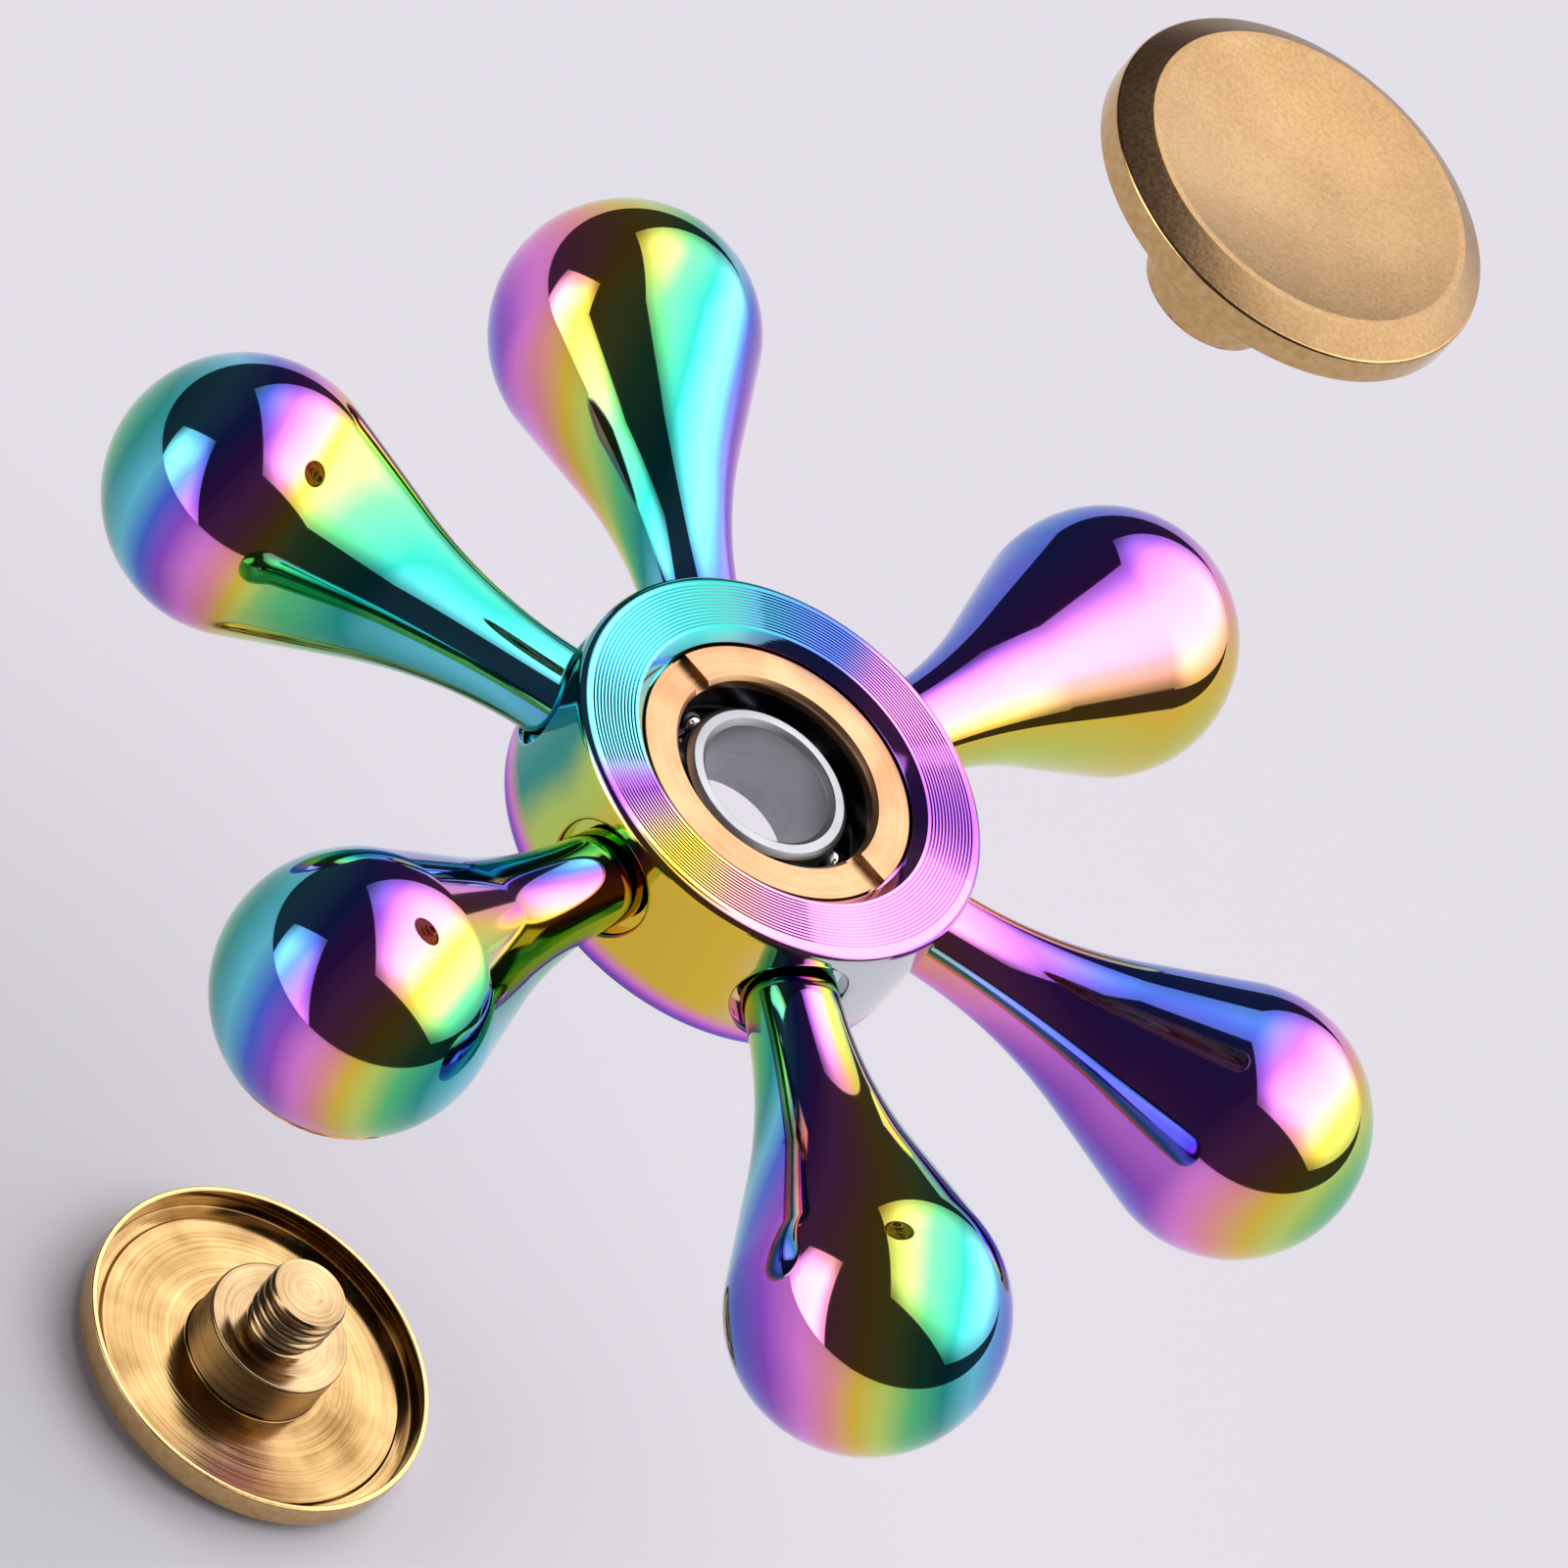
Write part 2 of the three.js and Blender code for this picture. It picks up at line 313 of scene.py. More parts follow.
def cut_away(thing, cutter, bevel):
    """Takes the cutter out of a piece, and breaks the new edges."""
    cutter.hide_render = True
    cutter.hide_viewport = True
    cut = thing.modifiers.new("cut", "BOOLEAN")
    cut.operation, cut.solver, cut.object = "DIFFERENCE", "EXACT", cutter
    thing.modifiers.move(len(thing.modifiers) - 1, 0)
    edge = thing.modifiers.new("edge", "BEVEL")
    edge.width, edge.segments, edge.limit_method = bevel * MM, 2, "ANGLE"
    edge.angle_limit = math.radians(35)
    thing.modifiers.move(len(thing.modifiers) - 1, 1)
    bpy.context.view_layer.update()
    final = bpy.data.meshes.new_from_object(
        thing.evaluated_get(bpy.context.evaluated_depsgraph_get())
    )
    thing.modifiers.clear()
    thing.data = final
    bpy.data.objects.remove(cutter)


# ---- Materials -----------------------------------------------------------------------------------


def linear(red, green, blue):
    """A colour given as it looks on screen, 0 to 255, in linear light."""
    return tuple(((c / 255 + 0.055) / 1.055) ** 2.4 for c in (red, green, blue)) + (1,)


class Nodes:
    """Short ways to add nodes to a tree."""

    def __init__(self, tree):
        self.tree = tree

    def put(self, socket, value):
        """Joins an output to a socket, or fills the socket with a value."""
        if isinstance(value, bpy.types.NodeSocket):
            self.tree.links.new(value, socket)
        else:
            socket.default_value = value

    def node(self, kind, *inputs, out=0, **settings):
        """Adds a node, sets its properties, joins or fills its first inputs, and returns an output."""
        made = self.tree.nodes.new("ShaderNode" + kind)
        for key, value in settings.items():
            setattr(made, key, value)
        for socket, value in zip(made.inputs, inputs):
            self.put(socket, value)
        return made.outputs[out]

    def sum(self, a, b):
        return self.node("Math", a, b, operation="ADD")

    def times(self, a, b):
        return self.node("Math", a, b, operation="MULTIPLY")

    def separate(self, vector):
        """The X, Y and Z of a vector."""
        made = self.tree.nodes.new("ShaderNodeSeparateXYZ")
        self.put(made.inputs[0], vector)
        return made.outputs


class Finish(Nodes):
    """A material with one Principled shader."""

    def __init__(self, name, **constants):
        self.material = bpy.data.materials.new(name)
        self.material.use_nodes = True
        super().__init__(self.material.node_tree)
        self.shader = self.tree.nodes["Principled BSDF"]
        for socket, value in constants.items():
            self.shader.inputs[socket.replace("_", " ")].default_value = value
        coordinates = self.tree.nodes.new("ShaderNodeTexCoord")
        self.place = coordinates.outputs["Object"]
        self.facing = coordinates.outputs["Normal"]

    def dot(self, vector, direction):
        made = self.tree.nodes.new("ShaderNodeVectorMath")
        made.operation = "DOT_PRODUCT"
        self.put(made.inputs[0], vector)
        made.inputs[1].default_value = direction
        return made.outputs["Value"]

    def noise(self, vector, scale, detail=2.0):
        """Noise from 0 to 1 over a vector, with features about 1 / scale across."""
        made = self.tree.nodes.new("ShaderNodeTexNoise")
        self.put(made.inputs["Vector"], vector)
        made.inputs["Scale"].default_value = scale
        made.inputs["Detail"].default_value = detail
        return made.outputs[0]

    def ramp(self, factor, stops, smooth="LINEAR"):
        """Colours along 0 to 1, given as {place: colour}."""
        made = self.tree.nodes.new("ShaderNodeValToRGB")
        made.color_ramp.interpolation = smooth
        elements = made.color_ramp.elements
        while len(elements) < len(stops):
            elements.new(0.5)
        for element, place in zip(elements, sorted(stops)):
            element.position = place
        for element, (place, colour) in zip(elements, sorted(stops.items())):
            element.color = colour
        self.put(made.inputs[0], factor)
        return made.outputs["Color"]

    def between(self, factor, low, high):
        """A value from low to high as factor goes from 0 to 1."""
        return self.node("MapRange", factor, 0.0, 1.0, low, high)

    def mix(self, factor, a, b):
        """Colour a where factor is 0, colour b where it is 1."""
        made = self.tree.nodes.new("ShaderNodeMix")
        made.data_type = "RGBA"
        self.put(made.inputs[0], factor)
        self.put(made.inputs[6], a)
        self.put(made.inputs[7], b)
        return made.outputs[2]

    def bump(self, height, distance):
        """Fine relief, distance metres deep where height goes from 0 to 1."""
        made = self.tree.nodes.new("ShaderNodeBump")
        made.inputs["Strength"].default_value = 1.0
        made.inputs["Distance"].default_value = distance
        self.put(made.inputs["Height"], height)
        self.put(self.shader.inputs["Normal"], made.outputs["Normal"])

    def colour(self, value):
        self.put(self.shader.inputs["Base Color"], value)

    def roughness(self, value):
        self.put(self.shader.inputs["Roughness"], value)

    def azimuth(self):
        """Where a point lies round the spin axis, from 0 to 1, starting at arm 1."""
        x, y, _ = self.separate(self.place)
        angle = self.node("Math", y, x, operation="ARCTAN2")
        return self.node("Math", self.times(angle, 1 / TURN), operation="FRACT")

    def radius(self):
        """Distance from the spin axis, in metres."""
        flat = self.node("VectorMath", self.place, (1, 1, 0), operation="MULTIPLY")
        return self.node("VectorMath", flat, out=1, operation="LENGTH")

    def height(self):
        """Height above the bearing's middle, in metres."""
        return self.separate(self.place)[2]


GOLD = linear(226, 192, 66)
ROSE = linear(236, 152, 156)
PINK = linear(228, 134, 218)
VIOLET = linear(150, 84, 204)
BLUE = linear(76, 106, 214)
CYAN = linear(104, 200, 220)
TEAL = linear(36, 152, 140)
GREEN = linear(92, 196, 124)
LIME = linear(194, 218, 104)
SILVER = linear(206, 212, 214)

# The coating's colours, once round.
FILM = {
    0.0: GOLD,
    0.1: ROSE,
    0.2: PINK,
    0.32: VIOLET,
    0.43: BLUE,
    0.55: CYAN,
    0.67: TEAL,
    0.79: GREEN,
    0.9: LIME,
    1.0: GOLD,
}

# How the coating came out on each arm: the hue at the start, its shift where the surface is level, its
# shift along the part's own X, Y and Z as the surface turns, and from ball to neck, first everywhere
# and then with X. Hue is a share of one round of FILM.
COATS = [
    (0.18, 0.2, (-0.45, 0.05, -0.1), -0.05, 0.0),
    (0.2, 0.0, (-0.25, 0.1, 0.05), -0.05, 0.0),
    (0.79, 0.3, (-0.5, -0.15, -0.3), -0.4, 0.45),
    (0.16, 0.2, (-0.6, 0.05, -0.15), -0.6, 0.0),
    (0.14, 0.2, (-0.6, 0.05, -0.15), 0.35, 0.0),
    (0.9, 0.15, (-0.45, -0.15, -0.3), 0.35, -0.2),
]
DRIFT = 0.16  # how far the hue wanders, all in all
WHOLE_ROUNDS = 2  # added to keep the sum above 0, with no effect on the hue


def drop_coating(index):
    """A mirror under a coating whose hue runs with the surface's direction and along the arm."""
    start, level, shift, inward, flank = COATS[index]
    f = Finish(f"drop_coating_{index + 1}", Metallic=1.0)
    upward = f.dot(f.facing, (0, 0, 1))
    turn = f.sum(f.times(f.times(upward, upward), level), f.dot(f.facing, shift))
    along = f.node("MapRange", f.radius(), DROP_CENTRE * MM, FOOT_END * MM, 0.0, 1.0)
    side = f.sum(f.times(f.dot(f.facing, (1, 0, 0)), flank), inward)
    drift = f.times(f.noise(f.place, 90.0), DRIFT)
    offset = f.sum(drift, start + WHOLE_ROUNDS - DRIFT / 2)
    phase = f.sum(f.sum(turn, f.times(along, side)), offset)
    f.colour(f.ramp(f.node("Math", phase, operation="FRACT"), FILM))
    f.roughness(f.between(f.noise(f.place, 260.0, 4.0), 0.02, 0.07))
    return f.material


def hub_coating():
    """The same coating on the hub, laid out round the ring."""
    f = Finish("hub_coating", Metallic=1.0)
    wobble = f.sum(f.azimuth(), f.times(f.noise(f.place, 160.0), 0.05))
    face = f.ramp(
        wobble,
        {
            0.0: PINK,
            0.08: VIOLET,
            0.2: PINK,
            0.28: BLUE,
            0.38: TEAL,
            0.5: CYAN,
            0.6: CYAN,
            0.66: VIOLET,
            0.72: GOLD,
            0.78: ROSE,
            0.84: PINK,
            1.0: PINK,
        },
        "EASE",
    )
    side = f.ramp(
        wobble,
        {
            0.0: SILVER,
            0.12: BLUE,
            0.25: VIOLET,
            0.35: PINK,
            0.45: TEAL,
            0.59: TEAL,
            0.64: LIME,
            0.69: GOLD,
            0.8: GOLD,
            0.86: SILVER,
            1.0: SILVER,
        },
        "EASE",
    )
    level = f.node("MapRange", f.height(), -HUB_HALF * MM, -FOOT_TINT * MM, 0.0, 1.0)
    foot = f.ramp(level, {0.0: CYAN, 0.12: BLUE, 0.3: VIOLET, 0.55: PINK, 0.85: ROSE, 1.0: GOLD})
    low = f.ramp(level, {0.0: (1, 1, 1, 1), 0.5: (1, 1, 1, 1), 1.0: (0, 0, 0, 1)})
    side = f.mix(low, side, foot)
    upward = f.node("MapRange", f.dot(f.facing, (0, 0, 1)), 0.35, 0.75, 0.0, 1.0)
    f.colour(f.mix(upward, side, face))
    f.roughness(f.between(f.noise(f.place, 420.0, 4.0), 0.04, 0.1))
    rings = f.noise(f.node("CombineXYZ", f.radius(), f.height(), 0.0), 16000.0)
    f.bump(rings, 0.0000012)
    return f.material


def turned_metal(name, light, dark, rough):
    """Bare metal with fine tool rings about the spin axis, and a light tarnish."""
    f = Finish(name, Metallic=1.0, Anisotropic=0.6)
    tangent = f.node("Tangent", direction_type="RADIAL", axis="Z")
    f.put(f.shader.inputs["Tangent"], tangent)
    tarnish = f.noise(f.place, 300.0, 4.0)
    round_axis = f.node("CombineXYZ", f.radius(), f.height(), f.times(f.azimuth(), 0.0004))
    ring = f.noise(round_axis, 9000.0)
    shade = f.sum(f.times(tarnish, 0.6), f.times(ring, 0.4))
    f.colour(f.ramp(shade, {0.32: dark, 0.68: light}))
    f.roughness(f.between(ring, rough * 0.7, rough * 1.4))
    f.bump(ring, 0.000004)
    return f.material


def blasted_brass():
    """The caps' satin outside: a fine even grain, with a broad uneven tone."""
    f = Finish("blasted_brass", Metallic=1.0)
    grain = f.noise(f.place, 5200.0, 3.0)
    tone = f.noise(f.place, 170.0, 3.0)
    shade = f.sum(f.times(tone, 0.45), f.times(grain, 0.55))
    f.colour(f.ramp(shade, {0.3: linear(130, 100, 68), 0.7: linear(164, 134, 96)}))
    f.roughness(f.between(grain, 0.26, 0.4))
    f.bump(grain, 0.000008)
    return f.material


def polished_brass():
    f = Finish("polished_brass", Metallic=1.0)
    wear = f.noise(f.place, 2600.0, 3.0)
    f.colour(f.ramp(wear, {0.3: linear(190, 152, 98), 0.7: linear(208, 176, 124)}))
    f.roughness(f.between(wear, 0.1, 0.2))
    f.bump(wear, 0.000001)
    return f.material


def ball_chrome():
    f = Finish("ball_chrome", Metallic=1.0)
    haze = f.noise(f.place, 1500.0, 3.0)
    f.colour(f.ramp(haze, {0.2: linear(196, 198, 204), 0.8: linear(236, 236, 238)}))
    f.roughness(f.between(haze, 0.03, 0.12))
    return f.material


RAINBOW_HUB = hub_coating()
RAINBOW_DROPS = [drop_coating(index) for index in range(ARM_COUNT)]
BLASTED = blasted_brass()
POLISHED = polished_brass()
TURNED_BRASS = turned_metal("turned_brass", linear(190, 158, 108), linear(112, 82, 46), 0.12)
RIBBED_BRASS = turned_metal("ribbed_brass", linear(222, 182, 116), linear(150, 108, 58), 0.34)
PALE_BRASS = turned_metal("pale_brass", linear(192, 164, 124), linear(118, 92, 60), 0.18)
LOCK_BRASS = turned_metal("lock_brass", linear(198, 156, 118), linear(156, 114, 80), 0.3)
GROUND_STEEL = turned_metal("ground_steel", linear(176, 176, 180), linear(144, 144, 150), 0.42)
# Steel for the outer race and the cage, darkened well below bare steel: painted shade, so the gap round
# the balls looks shaded.
SHADE_DARKENED_STEEL = turned_metal("shade_darkened_steel", linear(78, 76, 84), linear(44, 42, 50), 0.3)
CHROME = ball_chrome()


# ---- Hub -----------------------------------------------------------------------------------------


def socket_faces(index, add_ring):
    """One sixth of the hub's outer wall, with a rounded socket for an arm in its middle."""
    top = HUB_HALF - HUB_EDGE
    half = math.pi / ARM_COUNT
    rim = [(half * (2 * i / WALL_ACROSS - 1), top) for i in range(WALL_ACROSS)]
    rim += [(half, top * (1 - 2 * i / WALL_UP)) for i in range(WALL_UP)]
    rim += [(half * (1 - 2 * i / WALL_ACROSS), -top) for i in range(WALL_ACROSS)]
    rim += [(-half, top * (2 * i / WALL_UP - 1)) for i in range(WALL_UP)]
    turn = half * 2 * index

    def at(across, up, distance):
        return (
            distance * math.cos(turn) - across * math.sin(turn),
            distance * math.sin(turn) + across * math.cos(turn),
            up,
        )

    def on_wall(across, sunk):
        return math.sqrt(HUB_R**2 - across**2) - sunk

    lip_r = SOCKET_R + SOCKET_LIP
    angles = [math.atan2(z, HUB_R * a) for a, z in rim]
    blend_steps = 12
    for step in range(blend_steps + 1):
        share = (step / blend_steps) ** 0.8  # closer together towards the lip
        ring = []
        for (a, z), angle in zip(rim, angles):
            inner = math.asin(lip_r * math.cos(angle) / HUB_R)
            azimuth = a + (inner - a) * share
            height = z + (lip_r * math.sin(angle) - z) * share
            across = HUB_R * math.sin(azimuth)
            ring.append(at(across, height, HUB_R * math.cos(azimuth)))
        add_ring(ring)
    lip_steps = 8
    for step in range(1, lip_steps + 1):
        bend = math.pi / 2 * step / lip_steps
        reach = lip_r - SOCKET_LIP * math.sin(bend)
        sunk = SOCKET_LIP * (1 - math.cos(bend))
        ring = [(reach * math.cos(angle), reach * math.sin(angle)) for angle in angles]
        add_ring([at(y, z, on_wall(y, sunk)) for y, z in ring])
    for reach, distance in (
        (SOCKET_R, SOCKET_FLOOR),
        (SPIGOT_HOLE_R, SOCKET_FLOOR),
        (SPIGOT_HOLE_R, SPIGOT_HOLE_END),
        (HOLE_MIDDLE_R, SPIGOT_HOLE_END),
    ):
        ring = [(reach * math.cos(angle), reach * math.sin(angle)) for angle in angles]
        add_ring([at(y, z, distance) for y, z in ring])


def hub():
    shoulder, straight = HUB_R - HUB_EDGE, HUB_HALF - HUB_EDGE
    chamfer = MOUTH_R - POCKET_R
    seat_floor = -BEARING_FACE - PRESS_GAP
    face_start = complex(shoulder - GROOVES_START, HUB_HALF)
    face_end = complex(MOUTH_R + GROOVES_END, HUB_HALF)
    face = [face_start, *grooved(face_start, face_end, GROOVE_COUNT, GROOVE_DEPTH), face_end]
    back = [point.conjugate() for point in reversed(face)]
    inside, _ = rounded(
        [
            (MOUTH_R + MOUTH_EASE, HUB_HALF, 0, 0),
            (MOUTH_R, HUB_HALF, BROKEN_EDGE, 0),
            (POCKET_R, HUB_HALF - chamfer, BROKEN_EDGE, 0),
            (POCKET_R, SEAT_EDGE, 0, 0),
            (SEAT_R, SEAT_EDGE, 0, 0),
            (SEAT_R, seat_floor, 0, 0),
            (BACK_LIP_R, seat_floor, 0, 0),
            (BACK_LIP_R, BACK_LIP_Z, 0.1, 0),
            (POCKET_R, BACK_LIP_Z, 0, 0),
            (POCKET_R, chamfer - HUB_HALF, BROKEN_EDGE, 0),
            (MOUTH_R, -HUB_HALF, BROKEN_EDGE, 0),
            (MOUTH_R + MOUTH_EASE, -HUB_HALF, 0, 0),
        ]
    )
    quarter = math.pi / 2
    points = (
        arc(complex(shoulder, straight), HUB_EDGE, 0, quarter, 10)
        + face
        + inside
        + back
        + arc(complex(shoulder, -straight), HUB_EDGE, -quarter, 0, 10)
    )
    segments = WALL_ACROSS * ARM_COUNT
    vertices, faces, _ = swept(plain(points), segments, False, upright)
    previous = []

    def add_ring(ring):
        start = len(vertices)
        vertices.extend(ring)
        numbers = list(range(start, start + len(ring)))
        if previous:
            faces.extend(grid([previous[-1], numbers], False, [0])[0])
        previous.append(numbers)

    for index in range(ARM_COUNT):
        previous.clear()
        socket_faces(index, add_ring)
    return piece("polished_hub", vertices, faces, [RAINBOW_HUB])


# ---- Arms ----------------------------------------------------------------------------------------


def drop(index):
    """A drop on its neck: a ball, a straight tangent flare and a long hollow curve."""
    flare_start = NECK_R + FLARE_R * (1 - math.cos(FLARE_ANGLE))
    on_ball = DROP_CENTRE - DROP_R * math.sin(FLARE_ANGLE)
    rise = DROP_R * math.cos(FLARE_ANGLE) - flare_start
    neck_at = on_ball - rise / math.tan(FLARE_ANGLE) - FLARE_R * math.sin(FLARE_ANGLE)
    curve = arc(
        complex(NECK_R + FLARE_R, neck_at), FLARE_R, math.pi, math.pi - FLARE_ANGLE, 40
    )
    ball = arc(complex(0, DROP_CENTRE), DROP_R, -FLARE_ANGLE, math.pi / 2, 56)
    ball[-1] = complex(0, DROP_END)
    points = [
        complex(0, SPIGOT_END),
        complex(SPIGOT_R, SPIGOT_END),
        complex(SPIGOT_R, FOOT_END),
        complex(NECK_R, FOOT_END),
        *curve,
        *ball,
    ]
    turn = TURN / ARM_COUNT * index

    def place(radius, distance, angle):
        across = radius * math.cos(angle)
        return (
            distance * math.cos(turn) - across * math.sin(turn),
            distance * math.sin(turn) + across * math.cos(turn),
            radius * math.sin(angle),
        )

    name, finish = f"drop_arm_{index + 1}", RAINBOW_DROPS[index]
    return turned(name, plain(points), [finish], DROP_SEGMENTS, place=place, sharp=DROP_SHARP)


# ---- Bearing -------------------------------------------------------------------------------------


def inner_race():
    half = math.acos((PITCH_R - INNER_LAND_R) / RACE_GROOVE_R)
    top = BEARING_FACE
    groove = arc(complex(PITCH_R, 0), RACE_GROOVE_R, math.pi + half, math.pi - half, 20)
    below, _ = rounded(
        [
            (BORE_R, -top + LAND_DEPTH, 0, 0),
            (BORE_R, -top + BORE_CHAMFER, 0.04, 0),
            (BORE_R + BORE_CHAMFER, -top, 0.04, 0),
            (INNER_LAND_R - RACE_CHAMFER, -top, 0.1, 0),
            (INNER_LAND_R, -top + RACE_CHAMFER, 0.1, 0),
            (INNER_LAND_R, -top + LAND_DEPTH, 0, 0),
        ]
    )
    points = below + groove + [point.conjugate() for point in reversed(below)]
    return turned("inner_race", plain(points), [GROUND_STEEL], closed=True)


def outer_race():
    half = math.acos((OUTER_LAND_R - PITCH_R) / RACE_GROOVE_R)
    top, outside = BEARING_FACE, SEAT_R - PRESS_GAP
    groove = arc(complex(PITCH_R, 0), RACE_GROOVE_R, half, -half, 20)
    above, _ = rounded(
        [
            (outside, 0, 0, 0),
            (outside, top, OUTER_RACE_EDGE, 0),
            (OUTER_LAND_R, top, 0.1, 0),
            (OUTER_LAND_R, top - LAND_DEPTH, 0, 0),
        ]
    )
    points = above + groove + [point.conjugate() for point in reversed(above[1:])]
    # The outer race is steel darkened as painted shade for the gap under the lock ring.
    return turned("outer_race", plain(points), [SHADE_DARKENED_STEEL], closed=True)


def ball_outline(radius, steps):
    points = arc(0j, radius, -math.pi / 2, math.pi / 2, steps)
    points[0], points[-1] = complex(0, -radius), complex(0, radius)
    return plain(points)


def off_axis(azimuth, distance):
    """A placing for a piece turned about its own upright axis, away from the spin axis."""

    def place(radius, height, angle):
        return (
            distance * math.cos(azimuth) + radius * math.cos(angle),
            distance * math.sin(azimuth) + radius * math.sin(angle),
            height,
        )

    return place


def ball_azimuth(index):
    return TURN / BALL_COUNT * index


def cage():
    outline = rounded(
        [
            (CAGE_INNER_R, CAGE_BOTTOM, 0.08, 0),
            (CAGE_OUTER_R, CAGE_BOTTOM, 0.08, 0),
            (CAGE_OUTER_R, CAGE_TOP, 0.08, 0),
            (CAGE_INNER_R, CAGE_TOP, 0.08, 0),
        ],
        closed=True,
    )
    # The cage is steel darkened as painted shade round the balls.
    ring = turned("ball_cage", outline, [SHADE_DARKENED_STEEL], closed=True)
    vertices, faces = [], []
    for index in range(BALL_COUNT):
        shape = swept(
            ball_outline(CAGE_POCKET_R, 20), 32, False, off_axis(ball_azimuth(index), PITCH_R)
        )
        start = len(vertices)
        vertices += shape[0]
        faces += [tuple(start + number for number in face) for face in shape[1]]
    cut_away(ring, piece("pockets", vertices, faces, [SHADE_DARKENED_STEEL]), 0.02)
    return ring


def ball(index):
    return turned(
        f"ball_{index + 1:02d}",
        ball_outline(BALL_R, 24),
        [CHROME],
        segments=BALL_SEGMENTS,
        place=off_axis(ball_azimuth(index), PITCH_R),
    )


# ---- Lock ring -----------------------------------------------------------------------------------


def lock_ring():
    outline = rounded(
        [
            (LOCK_INNER_R, LOCK_BOTTOM, 0.03, 0),
            (LOCK_OUTER_R, LOCK_BOTTOM, 0.03, 0),
            (LOCK_OUTER_R, LOCK_TOP, 0.05, 0),
            (LOCK_INNER_R + LOCK_CHAMFER, LOCK_TOP, 0.03, 0),
            (LOCK_INNER_R, LOCK_TOP - LOCK_CHAMFER, 0.03, 0),
        ],
        closed=True,
    )
    ring = turned("slotted_lock_ring", outline, [LOCK_BRASS], LOCK_SEGMENTS, closed=True)
    reach, half = LOCK_OUTER_R + 1, SLOT_WIDTH / 2
    corners = [
        (x, y, z)
        for z in (LOCK_TOP - SLOT_DEPTH, LOCK_TOP + SLOT_DEPTH)
        for x, y in ((-reach, -half), (reach, -half), (reach, half), (-reach, half))
    ]
    turn = Matrix.Rotation(SLOT_AZIMUTH, 3, "Z")
    corners = [turn @ Vector(corner) for corner in corners]
    sides = [(0, 3, 2, 1), (4, 5, 6, 7), (0, 1, 5, 4), (1, 2, 6, 5), (2, 3, 7, 6), (3, 0, 4, 7)]
    cut_away(ring, piece("slot", corners, sides, [LOCK_BRASS]), 0.03)
    return ring


# ---- Caps ----------------------------------------------------------------------------------------

SATIN, SHINY, TOOLED, PALE, RIBBED = range(5)
CAP_FINISHES = [BLASTED, POLISHED, TURNED_BRASS, PALE_BRASS, RIBBED_BRASS]


def shell():
    """Outline from the centre of the dish to the foot of the boss. Outward is up."""
    dish_edge = CAP_LIP_R - CAP_LIP_FLAT
    dish_r = (dish_edge**2 + DISH_DEPTH**2) / (2 * DISH_DEPTH)
    spread = math.asin(dish_edge / dish_r)
    down = -math.pi / 2
    dish = arc(
        complex(0, CAP_LIP_Z - DISH_DEPTH + dish_r), dish_r, down, down + spread, 40
    )
    dish[0] = complex(0, CAP_LIP_Z - DISH_DEPTH)
    outside, outside_finishes = rounded(
        [
            (dish[-2].real, dish[-2].imag, 0, SATIN),
            (dish_edge, CAP_LIP_Z, 0.12, SATIN),
            (CAP_LIP_R, CAP_LIP_Z, 0.12, SATIN),
            (CAP_R, CAP_WALL, 0.22, SHINY),
            (CAP_R, 0, 0.08, SHINY),
            (CAP_R - RIM_WIDTH, 0, 0.06, TOOLED),
            (CAP_R - RIM_WIDTH, LEDGE_Z, 0.08, TOOLED),
            (LEDGE_R, LEDGE_Z, 0.05, TOOLED),
            (FLOOR_R, FLOOR_EDGE_Z, 0.05, TOOLED),
            (BOSS_R, FLOOR_Z, 0.1, TOOLED),
            (BOSS_R, FLOOR_Z - RIB_MARGIN, 0, TOOLED),
        ]
    )
    boss_start = complex(BOSS_R, FLOOR_Z - RIB_MARGIN)
    boss_end = complex(BOSS_R, BOSS_TOP + RIB_MARGIN)
    ribs = grooved(boss_start, boss_end, RIB_COUNT, RIB_DEPTH)
    points = dish[:-2] + outside + ribs
    finishes = [SATIN] * (len(dish) - 2) + outside_finishes + [RIBBED] * len(ribs)
    return points, finishes


def joined(*outlines):
    points = [point for outline in outlines for point in outline[0]]
    finishes = [finish for outline in outlines for finish in outline[1]]
    return points, finishes


def top_cap():
    hole_end = SLEEVE_TIP + SLEEVE_HOLE_DEPTH
    sleeve = rounded(
        [
            (BOSS_R, BOSS_TOP + RIB_MARGIN, 0, TOOLED),
            (BOSS_R, BOSS_TOP, 0.15, TOOLED),
            (SLEEVE_R, BOSS_TOP, 0.05, SHINY),
            (SLEEVE_R, SLEEVE_TIP, 0.25, SHINY),
            (SLEEVE_HOLE_R, SLEEVE_TIP, 0.12, TOOLED),
            (SLEEVE_HOLE_R, hole_end, 0, TOOLED),
            (0, hole_end, 0, TOOLED),
        ]
    )

    def place(radius, height, angle):
        return (radius * math.cos(angle), radius * math.sin(angle), CAP_OUT + height)

    outline = joined(shell(), sleeve)
    return turned("thumb_cap_top", outline, CAP_FINISHES, CAP_SEGMENTS, place=place)


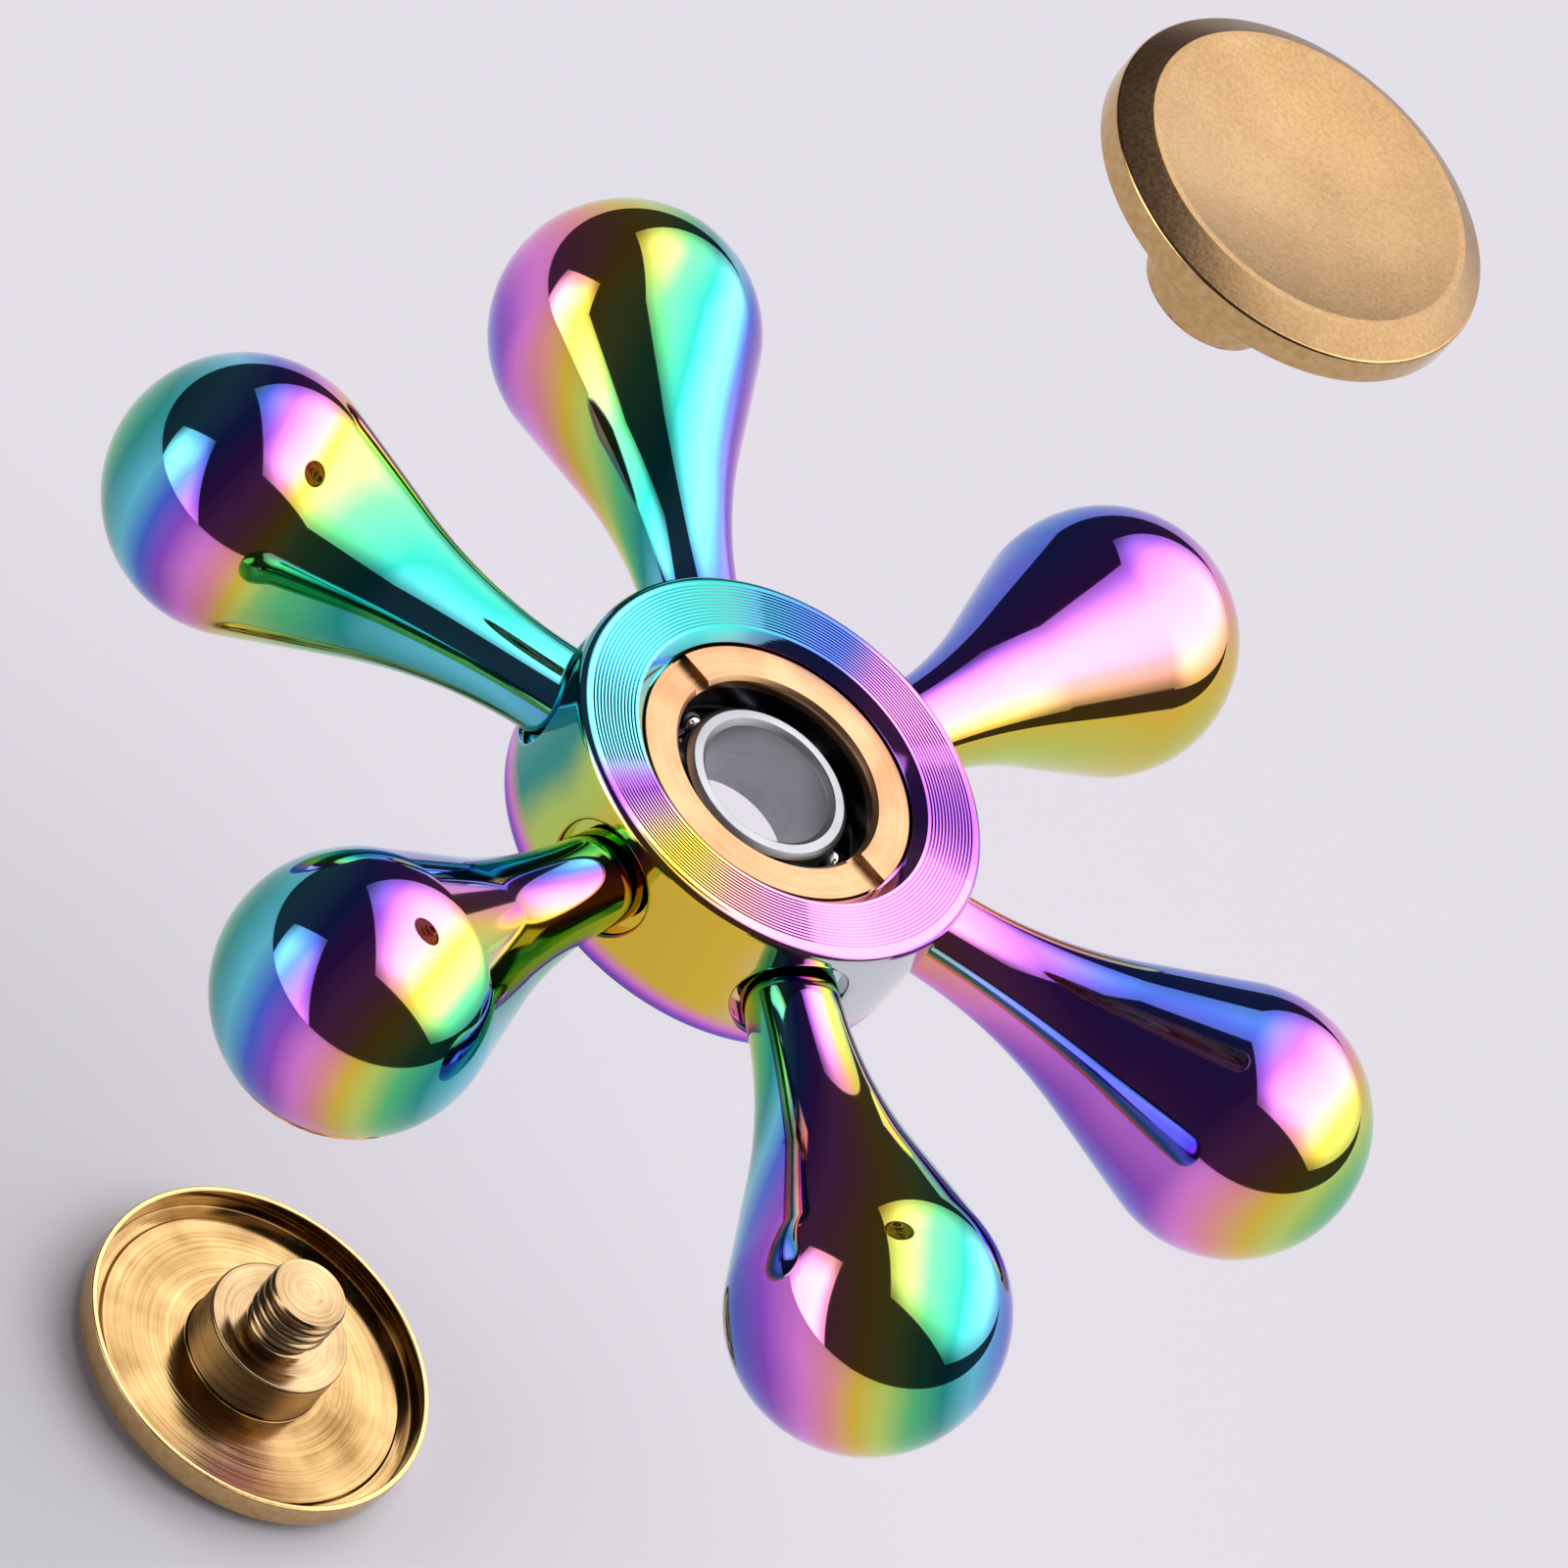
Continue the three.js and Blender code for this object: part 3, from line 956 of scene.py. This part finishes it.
def bottom_cap():
    """Heights grow outward in the outline, which is turned over for this cap."""
    start = STUD_TIP + THREAD_LEAD + THREAD_PITCH * THREAD_TURNS
    neck = rounded(
        [
            (BOSS_R, BOSS_TOP + RIB_MARGIN, 0, TOOLED),
            (BOSS_R, BOSS_TOP, 0.13, PALE),
            (SHOULDER_R, BOSS_TOP + SHOULDER_SINK, 0.4, PALE),
            (NECK_DOWN_R, BOSS_TOP, 0.25, PALE),
            (NECK_DOWN_R, start, 0, PALE),
        ]
    )
    steps = THREAD_STEPS * (THREAD_TURNS + 1)
    end = STUD_TIP + STUD_CHAMFER
    stud = [
        complex(STUD_R, start + (end - start) * i / steps) for i in range(1, steps + 1)
    ] + [complex(STUD_R - STUD_CHAMFER, STUD_TIP), complex(0, STUD_TIP)]

    def place(radius, height, angle):
        down = -CAP_OUT - height
        if end <= height < start and radius > NECK_DOWN_R:
            turns = down / THREAD_PITCH - angle / TURN
            crest = abs(math.cos(math.pi * turns)) ** 0.8
            run_in = min(1.0, (start - height) / THREAD_PITCH)
            radius = NECK_DOWN_R + (radius - THREAD_DEPTH * (1 - crest) - NECK_DOWN_R) * run_in
        return (radius * math.cos(angle), radius * math.sin(angle), down)

    outline = joined(shell(), neck, (stud, [PALE] * len(stud)))
    return turned("thumb_cap_bottom", outline, CAP_FINISHES, CAP_SEGMENTS, place=place)


# ---- Put together --------------------------------------------------------------------------------


def fit(thing, node, body):
    """The piece rides on its body and stands for its CAD node."""
    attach(thing, body)
    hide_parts(node)


fit(hub(), "hub_ring", "rotor")
for i in range(ARM_COUNT):
    fit(drop(i), f"arm_drop_{i + 1}", "rotor")
fit(lock_ring(), "lock_ring", "rotor")
fit(outer_race(), "bearing_outer_race", "rotor")
fit(inner_race(), "bearing_inner_race", "axle")
fit(cage(), "bearing_cage", "cage")
for i in range(BALL_COUNT):
    fit(ball(i), f"bearing_ball_{i + 1:02d}", f"ball_{i + 1:02d}")
fit(top_cap(), "top_cap", "top_cap")
fit(bottom_cap(), "bottom_cap", "bottom_cap")


# ---- Floor, light and camera ---------------------------------------------------------------------

FLOOR_SIZE = 6.0
CAMERA_AZIMUTH = -14.4  # degrees, as the other two angles
CAMERA_ELEVATION = 41.26
CAMERA_ROLL = 41.94
CAMERA_DISTANCE = 523.4
CAMERA_AIM = Vector((0.9, 1.2, 1.6))
LENS = 267.03
SENSOR = 36.0
LIGHT_DISTANCE = 5.0  # metres
SOFT_EDGE = 0.3  # share of a light's width, from each edge, over which it dims
SOFT_LOW = 0.35  # brightness at the edge itself, as a share of the middle's


def direction(azimuth, elevation):
    """The way out from the object, with azimuth 0 towards -Y and 90 towards +X, in degrees."""
    a, e = math.radians(azimuth), math.radians(elevation)
    return Vector((math.sin(a) * math.cos(e), -math.cos(a) * math.cos(e), math.sin(e)))


def face_along(thing, out, spin):
    """Turns a light or camera to look against out, spun by so many degrees about it."""
    turn = Matrix.Rotation(math.radians(spin), 3, "Z")
    thing.rotation_mode = "QUATERNION"
    thing.rotation_quaternion = (out.to_track_quat("Z", "Y").to_matrix() @ turn).to_quaternion()


def floor():
    low = cad_box[0][2]
    half = FLOOR_SIZE / 2
    mesh = bpy.data.meshes.new("floor")
    mesh.from_pydata(
        [(-half, -half, low), (half, -half, low), (half, half, low), (-half, half, low)],
        [],
        [(0, 1, 2, 3)],
    )
    f = Finish("floor_paint", Roughness=0.9, Specular_IOR_Level=0.0)
    f.colour(f.ramp(f.noise(f.place, 3.0), {0.2: linear(199, 196, 203), 0.8: linear(204, 200, 206)}))
    mesh.materials.append(f.material)
    thing = bpy.data.objects.new("floor", mesh)
    bpy.context.scene.collection.objects.link(thing)


def softbox(name, centre, width, height, spin, radiance):
    """A rectangular light facing the object, spun about its own middle by so many degrees.

    centre is its (azimuth, elevation), width and height are angles too, and radiance is what a mirror
    sees of its middle, which is brighter than its edges.
    """
    size = [2 * LIGHT_DISTANCE * math.tan(math.radians(angle) / 2) for angle in (width, height)]
    light = bpy.data.lights.new(name, "AREA")
    light.shape, light.size, light.size_y = "RECTANGLE", *size
    light.energy = radiance * math.pi * size[0] * size[1]
    light.use_nodes = True
    n = Nodes(light.node_tree)
    across, up, _ = n.separate(n.node("NewGeometry", out="Parametric"))
    rises, smooth = [], "SMOOTHSTEP"
    for part in (across, up):
        edge = n.node("Math", part, 0.5, operation="PINGPONG")
        rise = n.node("MapRange", edge, 0.0, SOFT_EDGE, SOFT_LOW, 1.0, interpolation_type=smooth)
        rises.append(rise)
    n.put(n.tree.nodes["Emission"].inputs["Strength"], n.times(*rises))
    thing = bpy.data.objects.new(name, light)
    out = direction(*centre)
    thing.location = out * LIGHT_DISTANCE
    face_along(thing, out, spin)
    thing.visible_camera = False
    bpy.context.scene.collection.objects.link(thing)


def surroundings():
    """A dim room for mirrors to see, and a pale backdrop behind the object."""
    world = bpy.data.worlds.new("room")
    world.use_nodes = True
    n = Nodes(world.node_tree)
    room = n.tree.nodes["Background"]
    n.put(room.inputs["Color"], linear(66, 60, 70))
    backdrop = n.node("Background", linear(226, 223, 232))
    seen = n.node("LightPath", out="Is Camera Ray")
    surface = n.node("MixShader", seen, room.outputs[0], backdrop)
    n.put(n.tree.nodes["World Output"].inputs["Surface"], surface)
    bpy.context.scene.world = world


def camera():
    out = direction(CAMERA_AZIMUTH, CAMERA_ELEVATION)
    lens = bpy.data.cameras.new("camera")
    lens.lens, lens.sensor_width = LENS, SENSOR
    lens.clip_start, lens.clip_end = 0.01, 50
    thing = bpy.data.objects.new("camera", lens)
    thing.location = (CAMERA_AIM + out * CAMERA_DISTANCE) * MM
    face_along(thing, out, CAMERA_ROLL)
    bpy.context.scene.collection.objects.link(thing)
    bpy.context.scene.camera = thing


floor()
softbox("large window", (129, 52), 102, 98, -26, 2.9)
softbox("small window", (-55, 2), 84, 42, -42, 3.4)
surroundings()
camera()
bpy.context.scene.view_settings.view_transform = "Standard"
